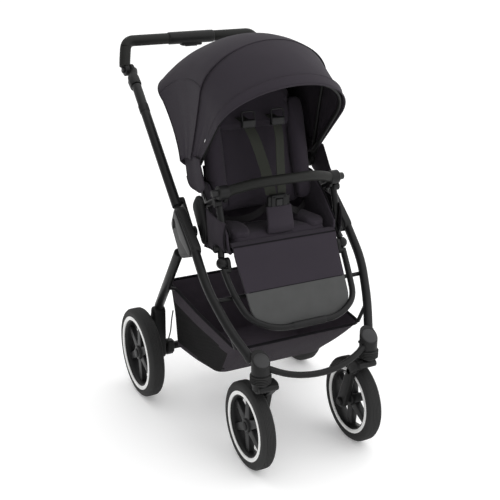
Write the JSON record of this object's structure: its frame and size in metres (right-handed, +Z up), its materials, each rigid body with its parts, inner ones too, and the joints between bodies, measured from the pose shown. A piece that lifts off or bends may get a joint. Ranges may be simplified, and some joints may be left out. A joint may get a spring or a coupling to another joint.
{
  "type": "baby stroller",
  "caption": "Folding baby stroller with reclining padded seat, folding hood, bumper bar, basket, swivelling front casters and larger rear wheels",
  "frame": {"origin": "on the floor at the middle of the stroller's bounding box", "axes": "+Z up, +Y to the rear where the handlebar is, +X to the child's left"},
  "size_m": [0.602, 0.8776, 1.128],
  "materials": {
    "frame": "satin black powder coat",
    "plastic": "fine textured black",
    "grip": "matt imitation leather",
    "rubber": "matt black",
    "fabric": "woven dark slate",
    "basket_fabric": "woven and net"
  },
  "bodies": {
    "chassis": {"hub_casing_right": "plastic", "hub_casing_left": "plastic", "front_leg_right": "frame", "front_leg_left": "frame", "caster_housing_right": "plastic", "caster_housing_left": "plastic", "seat_adapter_right": "plastic", "seat_adapter_left": "plastic", "seat_side_tube_right": "frame", "seat_side_tube_left": "frame", "front_cross_bar": "frame", "mid_cross_tube": "frame", "basket": "basket_fabric", "seat_cushion": "fabric", "buckle": "plastic"},
    "push_frame": {"push_tube_right": "frame", "push_tube_left": "frame", "handle_clamp_right": "plastic", "handle_clamp_left": "plastic"},
    "handlebar": {"handle_tube": "frame", "handle_centre_grip": "plastic", "handle_grip_right": "grip", "handle_grip_left": "grip"},
    "fold_trigger": {"fold_trigger": "plastic"},
    "rear_frame": {"rear_leg_right": "frame", "rear_leg_left": "frame", "axle_housing_right": "plastic", "axle_housing_left": "plastic", "rear_axle_tube": "frame", "brake_cable": "rubber"},
    "brake_pedal": {"brake_pedal": "plastic"},
    "backrest": {"back_frame": "frame", "back_pad": "fabric", "hood_rear_panel": "fabric"},
    "recline_lever": {"recline_lever": "plastic"},
    "hood_mid": {"hood_mid_bow": "plastic"},
    "hood_front": {"hood_front_panel": "fabric", "hood_front_bow": "plastic"},
    "calf_rest": {"footrest_bar": "frame", "calf_pad": "fabric"},
    "bumper": {"bumper_bar": "grip"},
    "buckle_button": {"buckle_button": "plastic"},
    "swivel_lock_right": {"swivel_lock_right": "plastic"},
    "handle_button_right": {"handle_button_right": "plastic"},
    "bumper_button_right": {"bumper_button_right": "plastic"},
    "caster_right": {"caster_fork_right": "plastic", "suspension_collar_right": "rubber"},
    "wheel_front_right": {"tyre_front_right": "rubber", "rim_front_right": "plastic"},
    "wheel_rear_right": {"tyre_rear_right": "rubber", "rim_rear_right": "plastic"},
    "swivel_lock_left": {"swivel_lock_left": "plastic"},
    "handle_button_left": {"handle_button_left": "plastic"},
    "bumper_button_left": {"bumper_button_left": "plastic"},
    "caster_left": {"caster_fork_left": "plastic", "suspension_collar_left": "rubber"},
    "wheel_front_left": {"tyre_front_left": "rubber", "rim_front_left": "plastic"},
    "wheel_rear_left": {"tyre_rear_left": "rubber", "rim_rear_left": "plastic"}
  },
  "joints": [
    {"name": "chassis_fold", "type": "hinge", "parent": "chassis", "child": "push_frame", "pos_m": [0, -0.062, 0.612], "axis": [1, 0, 0], "range_deg": [0, 120]},
    {"name": "rear_legs_fold", "type": "hinge", "parent": "chassis", "child": "rear_frame", "pos_m": [0, -0.062, 0.612], "axis": [1, 0, 0], "range_deg": [-38, 0]},
    {"name": "handle_angle", "type": "hinge", "parent": "push_frame", "child": "handlebar", "pos_m": [0, 0.381, 0.991], "axis": [1, 0, 0], "range_deg": [-50, 50]},
    {"name": "fold_trigger_lift", "type": "slide", "parent": "handlebar", "child": "fold_trigger", "axis": [0, 0, 1], "range_m": [0, 0.006], "stiffness_N_per_m": 300},
    {"name": "brake_pedal_tilt", "type": "hinge", "parent": "rear_frame", "child": "brake_pedal", "pos_m": [0, 0.211, 0.14], "axis": [1, 0, 0], "range_deg": [-20, 0]},
    {"name": "backrest_recline", "type": "hinge", "parent": "chassis", "child": "backrest", "pos_m": [0, -0.06, 0.68], "axis": [1, 0, 0], "range_deg": [-35, 0]},
    {"name": "recline_lever_lift", "type": "slide", "parent": "backrest", "child": "recline_lever", "axis": [0, 0, 1], "range_m": [0, 0.008], "stiffness_N_per_m": 300},
    {"name": "hood_mid_turn", "type": "hinge", "parent": "backrest", "child": "hood_mid", "pos_m": [0, -0.01, 0.76], "axis": [1, 0, 0], "range_deg": [-33, 0]},
    {"name": "hood_front_turn", "type": "hinge", "parent": "hood_mid", "child": "hood_front", "pos_m": [0, -0.01, 0.76], "axis": [1, 0, 0], "range_deg": [-33, 0]},
    {"name": "calf_rest_turn", "type": "hinge", "parent": "chassis", "child": "calf_rest", "pos_m": [0, -0.192, 0.557], "axis": [1, 0, 0], "range_deg": [-46, 0]},
    {"name": "bumper_pull", "type": "slide", "parent": "chassis", "child": "bumper", "axis": [0, -0.8, 0.6], "range_m": [0, 0.05]},
    {"name": "buckle_button_press", "type": "slide", "parent": "chassis", "child": "buckle_button", "axis": [0, 1, 0], "range_m": [0, 0.005], "stiffness_N_per_m": 300},
    {"name": "swivel_lock_right_lift", "type": "slide", "parent": "chassis", "child": "swivel_lock_right", "axis": [0, 0, 1], "range_m": [0, 0.006], "stiffness_N_per_m": 300},
    {"name": "handle_button_right_press", "type": "slide", "parent": "handlebar", "child": "handle_button_right", "axis": [1, 0, 0], "range_m": [0, 0.0025], "stiffness_N_per_m": 300},
    {"name": "bumper_button_right_press", "type": "slide", "parent": "bumper", "child": "bumper_button_right", "axis": [1, 0, 0], "range_m": [0, 0.005], "stiffness_N_per_m": 300},
    {"name": "caster_right_swivel", "type": "hinge", "parent": "chassis", "child": "caster_right", "pos_m": [-0.167, -0.378, 0.3], "axis": [0, 0, 1], "continuous": true},
    {"name": "wheel_front_right_spin", "type": "hinge", "parent": "caster_right", "child": "wheel_front_right", "pos_m": [-0.166, -0.315, 0.124], "axis": [1, 0, 0], "continuous": true},
    {"name": "wheel_rear_right_spin", "type": "hinge", "parent": "rear_frame", "child": "wheel_rear_right", "pos_m": [-0.278, 0.211, 0.14], "axis": [1, 0, 0], "continuous": true},
    {"name": "swivel_lock_left_lift", "type": "slide", "parent": "chassis", "child": "swivel_lock_left", "axis": [0, 0, 1], "range_m": [0, 0.006], "stiffness_N_per_m": 300},
    {"name": "handle_button_left_press", "type": "slide", "parent": "handlebar", "child": "handle_button_left", "axis": [-1, 0, 0], "range_m": [0, 0.0025], "stiffness_N_per_m": 300},
    {"name": "bumper_button_left_press", "type": "slide", "parent": "bumper", "child": "bumper_button_left", "axis": [-1, 0, 0], "range_m": [0, 0.005], "stiffness_N_per_m": 300},
    {"name": "caster_left_swivel", "type": "hinge", "parent": "chassis", "child": "caster_left", "pos_m": [0.167, -0.378, 0.3], "axis": [0, 0, 1], "continuous": true},
    {"name": "wheel_front_left_spin", "type": "hinge", "parent": "caster_left", "child": "wheel_front_left", "pos_m": [0.166, -0.315, 0.124], "axis": [1, 0, 0], "continuous": true},
    {"name": "wheel_rear_left_spin", "type": "hinge", "parent": "rear_frame", "child": "wheel_rear_left", "pos_m": [0.278, 0.211, 0.14], "axis": [1, 0, 0], "continuous": true}
  ],
  "couplings": [
    {"joint": "rear_legs_fold", "follows": "chassis_fold", "ratio": -0.31667},
    {"joint": "hood_front_turn", "follows": "hood_mid_turn", "ratio": 1}
  ]
}
